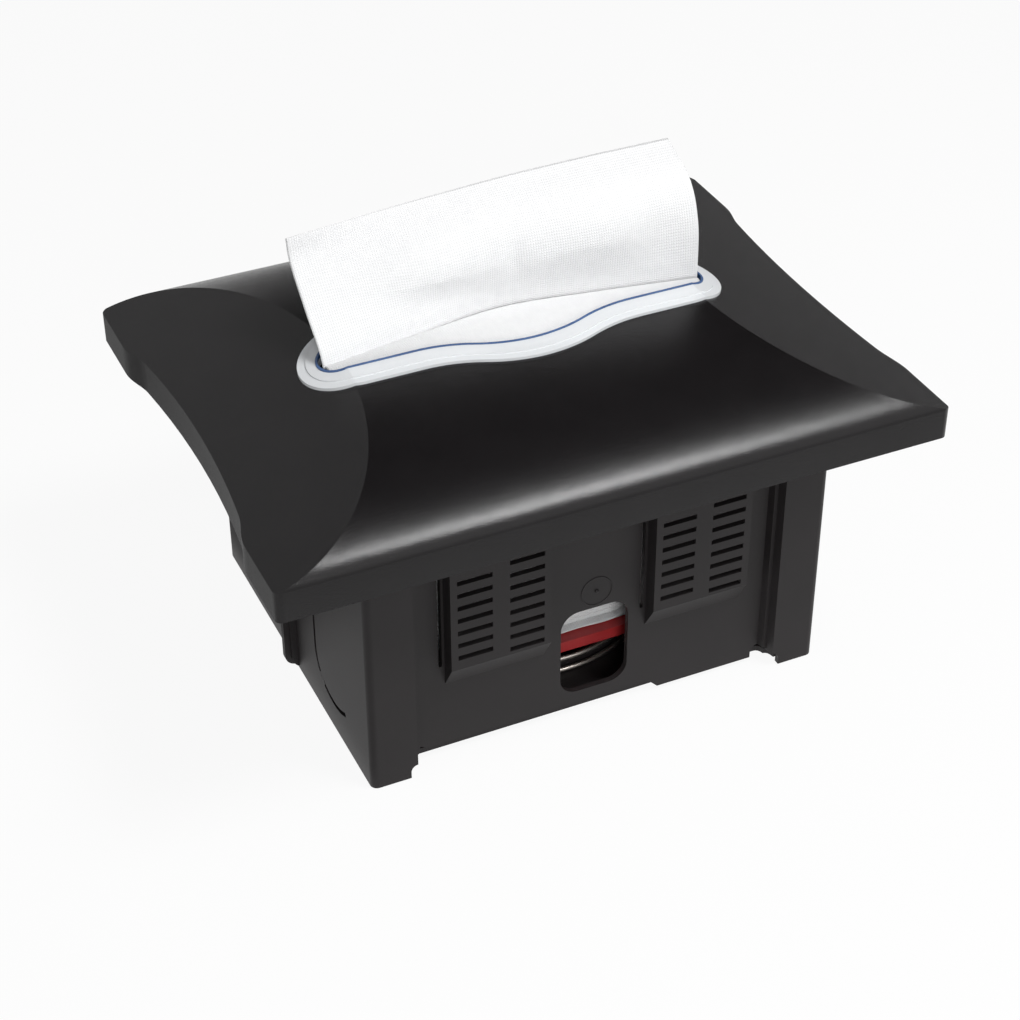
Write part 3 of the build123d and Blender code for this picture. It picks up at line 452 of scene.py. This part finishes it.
def paper_sheet(name, point, columns, rows):
    """A sheet of paper from a function of u and v. Its UV map is 1 wide and PAPER_UV_HEIGHT high."""
    mesh = bpy.data.meshes.new(name)
    shape = bmesh.new()
    grid = [[shape.verts.new(point(2 * i / columns - 1, j / rows) * MM) for i in range(columns + 1)]
            for j in range(rows + 1)]
    uv = shape.loops.layers.uv.new("paper")
    for j in range(rows):
        for i in range(columns):
            face = shape.faces.new((grid[j][i], grid[j][i + 1], grid[j + 1][i + 1], grid[j + 1][i]))
            for loop, (a, b) in zip(face.loops, ((i, j), (i + 1, j), (i + 1, j + 1), (i, j + 1))):
                loop[uv].uv = (a / columns, b / rows * PAPER_UV_HEIGHT)
            face.smooth = True
    shape.to_mesh(mesh)
    shape.free()
    sheet = bpy.data.objects.new(name, mesh)
    bpy.context.scene.collection.objects.link(sheet)
    sheet.data.materials.append(paper)
    thick = sheet.modifiers.new("thickness", "SOLIDIFY")
    thick.thickness = PAPER_THICKNESS
    thick.offset = 0.0
    return sheet


napkin = paper_sheet("pulled_napkin_sheet", sheet_point, columns=120, rows=60)
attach(napkin, "lid")
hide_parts("pulled_napkin")
print("napkin in the mouth:", len(napkin.data.polygons), "faces")

# %% [markdown]
# ## The next napkin, under the mouth
# The napkins are folded into one another, so the one that leaves pulls up a flap of the next. It fills the
# mouth in front of the standing napkin. Its edge follows the mouth, whose long sides swell in two arcs.

# %% Edge of the mouth, in millimetres
MOUTH_Y = -2.5
MOUTH_END = 74.0
MOUTH_HALF_WIDTH = 10.0
MOUTH_BULGE = 9.5
BULGE_HALF_LENGTH = 47.0


def mouth_edge(x, inset):
    """Distance of the mouth's long side from its middle line at one x, in millimetres."""
    half_width = MOUTH_HALF_WIDTH - inset
    x = abs(x)
    if x > MOUTH_END:
        return math.sqrt(max(half_width ** 2 - (x - MOUTH_END) ** 2, 0.0))
    if x > BULGE_HALF_LENGTH:
        return half_width
    half_run = BULGE_HALF_LENGTH / 2
    half_rise = MOUTH_BULGE / 2
    radius = (half_run ** 2 + half_rise ** 2) / (2 * half_rise)
    if x > half_run:
        return half_width + radius - math.sqrt(radius ** 2 - (BULGE_HALF_LENGTH - x) ** 2)
    return half_width + MOUTH_BULGE - radius + math.sqrt(radius ** 2 - x ** 2)


print("the mouth is", round(2 * mouth_edge(0.0, 0.0), 1), "mm wide at its middle")

# %% The next napkin's flap, in millimetres
FLAP_HALF = 81.0
FLAP_RISE = 0.22
FLAP_LOW_Z = 136.4
FLAP_TOP_Z = 144.4
FLAP_LEAN = 1.2
FLAP_EDGE_GAP = 1.1
FLAP_FOOT_GAP = 1.6
FLAP_FOOT_V = 0.27
FLAP_SWELL = 1.1
FLAP_SWELL_LOSS = 0.5
FLAP_TILT = 0.5


def flap_point(u, v):
    """Point of the flap: up through the throat, then back to the foot of the standing napkin."""
    x = u * FLAP_HALF
    edge = mouth_edge(x, FLAP_EDGE_GAP)
    front = MOUTH_Y - edge
    if v < FLAP_RISE:
        share = v / FLAP_RISE
        z = FLAP_LOW_Z + (FLAP_TOP_Z - FLAP_LOW_Z) * share
        return Vector((x, front + FLAP_LEAN * (1 - share) ** 2, z))
    share = (v - FLAP_RISE) / (1 - FLAP_RISE)
    foot = sheet_point(u, FLAP_FOOT_V)
    back = min(foot.y - FLAP_FOOT_GAP, MOUTH_Y + edge)
    swell = FLAP_SWELL * math.sin(math.pi * share) * (1 - FLAP_SWELL_LOSS * u * u)
    return Vector((x, front + (back - front) * share, FLAP_TOP_Z + swell + FLAP_TILT * share))


flap = paper_sheet("next_napkin_flap", flap_point, columns=120, rows=36)
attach(flap, "lid")
print("flap of the next napkin:", len(flap.data.polygons), "faces")

# %% [markdown]
# ## The stack of napkins
# The stack is made of folded napkins. Each is a flat leaf with a round fold at the front and at the back,
# and no two lie exactly on one another. The window shows the lowest one's edge, which lies loose on the
# follower plate. The leaves' wander is drawn with a fixed seed, so that every run gives the same stack.

# %% Helpers for the leaves
LEAF_UV_SCALE = 6
LEAF_SAG = 0.0002


def ripple(x, waves, seed):
    """Smooth noise along x, from about -1 to 1, with about so many waves in a metre."""
    return noise.noise(Vector((x * waves, *seed)))


def skin_rings(shape, uv, rings):
    """Closes a row of outlines to one skin with two flat ends."""
    for before, after in zip(rings[:-1], rings[1:]):
        for i in range(len(before)):
            j = (i + 1) % len(before)
            face = shape.faces.new((before[i], after[i], after[j], before[j]))
            face.smooth = True
            for loop in face.loops:
                loop[uv].uv = (loop.vert.co.x * LEAF_UV_SCALE, loop.vert.co.y * LEAF_UV_SCALE)
    shape.faces.new(rings[0])
    shape.faces.new(list(reversed(rings[-1])))


print("leaves ripple by up to", LEAF_SAG, "m")

# %% One folded napkin
LEAVES = 48
LEAF_COLUMNS = 10
LEAF_INSET = 0.0012
LEAF_WANDER = 0.001
LEAF_SEED = 1
LEAF_FILL = 0.49
FOLD_STEPS = 4
noise.seed_set(LEAF_SEED)
stack_low, stack_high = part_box("napkin_stack")
leaf_pitch = (stack_high[2] - stack_low[2]) / LEAVES
leaf_half_length = (stack_high[0] - stack_low[0]) / 2 - LEAF_INSET
leaf_half_depth = (stack_high[1] - stack_low[1]) / 2 - LEAF_INSET


def leaf_outline(half_depth, half_height):
    """Cross-section of one folded napkin: two flat faces and two round folds, as (y, z) pairs."""
    points = []
    for side in (1, -1):
        for step in range(FOLD_STEPS + 1):
            angle = side * (math.pi / 2 - math.pi * step / FOLD_STEPS)
            points.append((side * (half_depth - half_height + half_height * math.cos(angle)),
                           half_height * math.sin(angle)))
    return points


def leaf_rings(shape, leaf):
    """Outlines of one napkin of the stack, from left to right."""
    wander = noise.noise_vector(Vector((leaf * 0.61, 3.1, 7.7))) * LEAF_WANDER
    middle_z = stack_low[2] + leaf_pitch * (leaf + 0.5)
    rings = []
    for column in range(LEAF_COLUMNS + 1):
        x = (2 * column / LEAF_COLUMNS - 1) * leaf_half_length
        z = middle_z + LEAF_SAG * ripple(x, waves=30, seed=(leaf * 0.37, 1.3))
        rings.append([shape.verts.new((x + wander.x, y + wander.y, z + rise))
                      for y, rise in leaf_outline(leaf_half_depth, leaf_pitch * LEAF_FILL)])
    return rings


print("each leaf is", round(leaf_pitch * 1000, 2), "mm high")

# %% Loose edge of the lowest napkin
LOOSE_HALF = 0.060
LOOSE_REACH = 0.0030
LOOSE_COLUMNS = 60
LOOSE_RAGGED = 0.0014
LOOSE_ROOT = 0.005
LOOSE_ROOT_LIFT = 0.0007
LOOSE_ROOT_HALF_HEIGHT = 0.0005
LOOSE_NOSE = 0.001
LOOSE_LIFT = 0.0004
LOOSE_WAVE = 0.0002
LOOSE_HALF_HEIGHT = 0.0002


def loose_rings(shape):
    """Outlines of the lowest napkin's front edge, which lies on the plate in front of the stack."""
    front = stack_low[1]
    root = stack_low[2] + LOOSE_ROOT_LIFT
    rings = []
    for column in range(LOOSE_COLUMNS + 1):
        x = (2 * column / LOOSE_COLUMNS - 1) * LOOSE_HALF
        edge = front - LOOSE_REACH + LOOSE_RAGGED * ripple(x, waves=70, seed=(5.2, 0.4))
        middle = stack_low[2] + LOOSE_LIFT + LOOSE_WAVE * ripple(x, waves=45, seed=(2.2, 9.1))
        outline = [
            (front + LOOSE_ROOT, root + LOOSE_ROOT_HALF_HEIGHT),
            (edge + LOOSE_NOSE, middle + LOOSE_HALF_HEIGHT),
            (edge, middle),
            (edge + LOOSE_NOSE, middle - LOOSE_HALF_HEIGHT),
            (front + LOOSE_ROOT, root - LOOSE_ROOT_HALF_HEIGHT),
        ]
        rings.append([shape.verts.new((x, y, z)) for y, z in outline])
    return rings


print("the loose edge is", round(2 * LOOSE_HALF * 1000), "mm long")

# %% [markdown]
# The whole stack is one piece, fixed to the tub. The share of its height that is left when the follower has
# risen all the way is worked out and printed.

# %% The stack
STACK_PLAY = 0.0003


def napkin_leaves():
    """All the folded napkins of the stack in one mesh."""
    shape = bmesh.new()
    uv = shape.loops.layers.uv.new("paper")
    for leaf in range(LEAVES):
        skin_rings(shape, uv, leaf_rings(shape, leaf))
    skin_rings(shape, uv, loose_rings(shape))
    bmesh.ops.recalc_face_normals(shape, faces=shape.faces)
    mesh = bpy.data.meshes.new("napkin_leaves")
    shape.to_mesh(mesh)
    shape.free()
    made = bpy.data.objects.new("napkin_leaves", mesh)
    bpy.context.scene.collection.objects.link(made)
    made.data.materials.append(paper)
    return made


leaves = napkin_leaves()
plate_travel = next(j["range_m"][1] for j in frame["joints"] if j["name"] == "follower_slide")
plate_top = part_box("follower")[1][2]
stack_left = (stack_high[2] - plate_top - plate_travel - STACK_PLAY) / (stack_high[2] - stack_low[2])
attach(leaves, "tub")
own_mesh(leaves)
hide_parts("napkin_stack")
print("stack:", LEAVES, "folded napkins,", round(stack_left * 100), "percent high when nearly used up")

# %% [markdown]
# ## Spring
# The wire is a copy of the CAD spring that stretches between the floor and the plate.

# %% Spring
SAME_POINT = 1e-6


def stretching_copy(name, new_name):
    """A merged, smooth copy of a CAD node."""
    source = nodes[name]
    mesh = source.data.copy()
    shape = bmesh.new()
    shape.from_mesh(mesh)
    shape.transform(source.matrix_world)
    bmesh.ops.remove_doubles(shape, verts=shape.verts, dist=SAME_POINT)
    shape.to_mesh(mesh)
    shape.free()
    mesh.shade_smooth()
    made = bpy.data.objects.new(new_name, mesh)
    bpy.context.scene.collection.objects.link(made)
    return made


wire = stretching_copy("follower_spring", "follower_wire")
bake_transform(wire)
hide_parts("follower_spring")

# %% [markdown]
# ## Gate mark
# The tub was filled through the middle of its front panel. The mould left a shallow ring and a small stub
# there.

# %% Gate mark
GATE_PLACE = (0.0005, -0.0785, 0.0613)
GATE_RADIUS = 0.0067
GATE_LINE_RADIUS = 0.0003
GATE_STUB_RADIUS = 0.0009
FACING_FRONT = (math.pi / 2, 0.0, 0.0)


def mark_on_tub(name):
    """Makes the primitive that was just added a mark on the tub."""
    piece = bpy.context.object
    piece.name = name
    bpy.ops.object.transform_apply(location=True, rotation=True, scale=True)
    bpy.ops.object.shade_smooth()
    piece.data.materials.append(nodes["housing"].data.materials[0])
    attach(piece, "tub")


bpy.ops.object.select_all(action="DESELECT")
bpy.ops.mesh.primitive_torus_add(location=GATE_PLACE, rotation=FACING_FRONT, major_radius=GATE_RADIUS,
                                 minor_radius=GATE_LINE_RADIUS, major_segments=96, minor_segments=12)
mark_on_tub("gate_ring")
bpy.ops.object.select_all(action="DESELECT")
bpy.ops.mesh.primitive_uv_sphere_add(location=GATE_PLACE, radius=GATE_STUB_RADIUS, segments=24, ring_count=12)
mark_on_tub("gate_stub")
print("gate mark at", GATE_PLACE)

# %% [markdown]
# ## Floor and background
# The picture is a plain cut-out on white. The floor and the world are white to the camera and to whatever
# mirrors them, and paler to the light, so that the dispenser keeps its shadow.

# %% Floor
FLOOR_SIZE = 8.0
FLOOR_DROP = 0.0005
FLOOR_WHITE_SHARE = 0.92
FLOOR_PALE = 0.8


def seen_directly(tree):
    """A socket that is 1 for camera, glossy and transmission rays and 0 for all others."""
    path = tree.nodes.new("ShaderNodeLightPath")
    total = path.outputs["Is Camera Ray"]
    for name in ("Is Glossy Ray", "Is Transmission Ray"):
        either = tree.nodes.new("ShaderNodeMath")
        either.operation = "MAXIMUM"
        tree.links.new(total, either.inputs[0])
        tree.links.new(path.outputs[name], either.inputs[1])
        total = either.outputs[0]
    return total


def plain_floor():
    """White where it is seen, pale to the light."""
    finish = Finish("floor_white")
    seen = Signal(finish, seen_directly(finish.tree))
    pale = finish.node("ShaderNodeBsdfDiffuse", {}, {"Color": grey(FLOOR_PALE)})
    white = finish.node("ShaderNodeEmission", {}, {"Color": WHITE, "Strength": 1.0})
    sockets = {0: seen * FLOOR_WHITE_SHARE, 1: pale, 2: white}
    return finish.close(finish.node("ShaderNodeMixShader", {}, sockets))


bpy.ops.object.select_all(action="DESELECT")
bpy.ops.mesh.primitive_plane_add(size=FLOOR_SIZE, location=(0.0, 0.0, -FLOOR_DROP))
floor = bpy.context.object
floor.name = "floor"
floor.data.materials.append(plain_floor())
print("the floor is", FLOOR_SIZE, "m wide")

# %% Background
SKY_DIM = 0.15

world = bpy.data.worlds.new("studio")
bpy.context.scene.world = world
world.use_nodes = True
sky = world.node_tree
sky.nodes.clear()


def sky_light(strength):
    """The output of an even white background."""
    even = sky.nodes.new("ShaderNodeBackground")
    even.inputs["Color"].default_value = WHITE
    even.inputs["Strength"].default_value = strength
    return even.outputs[0]


sky_mix = sky.nodes.new("ShaderNodeMixShader")
sky_end = sky.nodes.new("ShaderNodeOutputWorld")
for index, socket in enumerate((seen_directly(sky), sky_light(SKY_DIM), sky_light(1.0))):
    sky.links.new(socket, sky_mix.inputs[index])
sky.links.new(sky_mix.outputs[0], sky_end.inputs["Surface"])
bpy.context.scene.view_settings.view_transform = "Standard"
print("floor and background are white to the camera")

# %% [markdown]
# ## Light
# One large soft light hangs in front of the dispenser and above it. The lid's front roll mirrors it as a
# bright band. Weaker lights fill the front and the left side.


# %% Lights
def soft_light(name, place, aim, wide, tall, power):
    """A rectangular light that faces a point."""
    data = bpy.data.lights.new(name, "AREA")
    data.shape = "RECTANGLE"
    data.size = wide
    data.size_y = tall
    data.energy = power
    light = bpy.data.objects.new(name, data)
    bpy.context.scene.collection.objects.link(light)
    light.location = place
    light.rotation_euler = (Vector(aim) - Vector(place)).to_track_quat("-Z", "Y").to_euler()


soft_light("key", place=(0.42, -0.50, 1.24), aim=(0.10, -0.30, 0.14), wide=0.50, tall=0.34, power=14.0)
soft_light("front_fill", place=(-0.42, -1.45, 0.72), aim=(0.0, -0.06, 0.05), wide=0.4, tall=0.4, power=9.3)
soft_light("left_fill", place=(-1.8, -0.3, 0.7), aim=(0.0, 0.0, 0.1), wide=1.2, tall=1.0, power=3.0)

# %% [markdown]
# ## Cards
# Dark satin plastic shows what it mirrors more than its own colour. So cards stand round the dispenser that
# only its reflections see, and each gives one side of the plastic its tone. The black card leans over the
# dispenser from behind and keeps the top of the lid dark. Two grey ones, below that card and to its left,
# tone the sloping ends of the lid. Three on the floor tone the tub's left wall and the lid's rim.

# %% Cards
CARD_RISE = 0.001


def mirrored_card(name, level, corners):
    """A card of one even tone that only reflections see."""
    finish = Finish(name)
    tone = finish.node("ShaderNodeEmission", {}, {"Color": grey(level), "Strength": 1.0})
    mesh = bpy.data.meshes.new(name)
    mesh.from_pydata(corners, [], [(0, 1, 2, 3)])
    card = bpy.data.objects.new(name, mesh)
    bpy.context.scene.collection.objects.link(card)
    card.data.materials.append(finish.close(tone))
    card.visible_camera = False
    card.visible_diffuse = False
    card.visible_shadow = False


def card_on_floor(name, level, x_range, y_range):
    """A rectangular card that lies on the floor."""
    (left, right), (front, back) = x_range, y_range
    mirrored_card(name, level, [(left, front, CARD_RISE), (right, front, CARD_RISE),
                                (right, back, CARD_RISE), (left, back, CARD_RISE)])


mirrored_card("black_card", 0.01,
              [(-0.08, 1.10, 0.56), (1.80, 1.10, 0.56), (1.30, 0.12, 1.40), (-0.10, 0.12, 1.40)])
mirrored_card("grey_card", 0.25,
              [(0.30, 1.10, 0.0), (1.90, 1.10, 0.0), (1.80, 1.10, 0.56), (-0.05, 1.10, 0.56)])
mirrored_card("left_card", 0.50,
              [(-1.40, 1.10, 0.25), (-0.09, 1.10, 0.25), (-0.11, 0.45, 1.40), (-1.40, 0.45, 1.40)])
card_on_floor("side_card", 0.28, x_range=(-0.90, -0.104), y_range=(0.02, 0.90))
card_on_floor("corner_card", 0.60, x_range=(-0.90, -0.104), y_range=(-0.20, 0.02))
card_on_floor("front_card", 0.55, x_range=(-0.60, 0.90), y_range=(-1.10, -0.235))
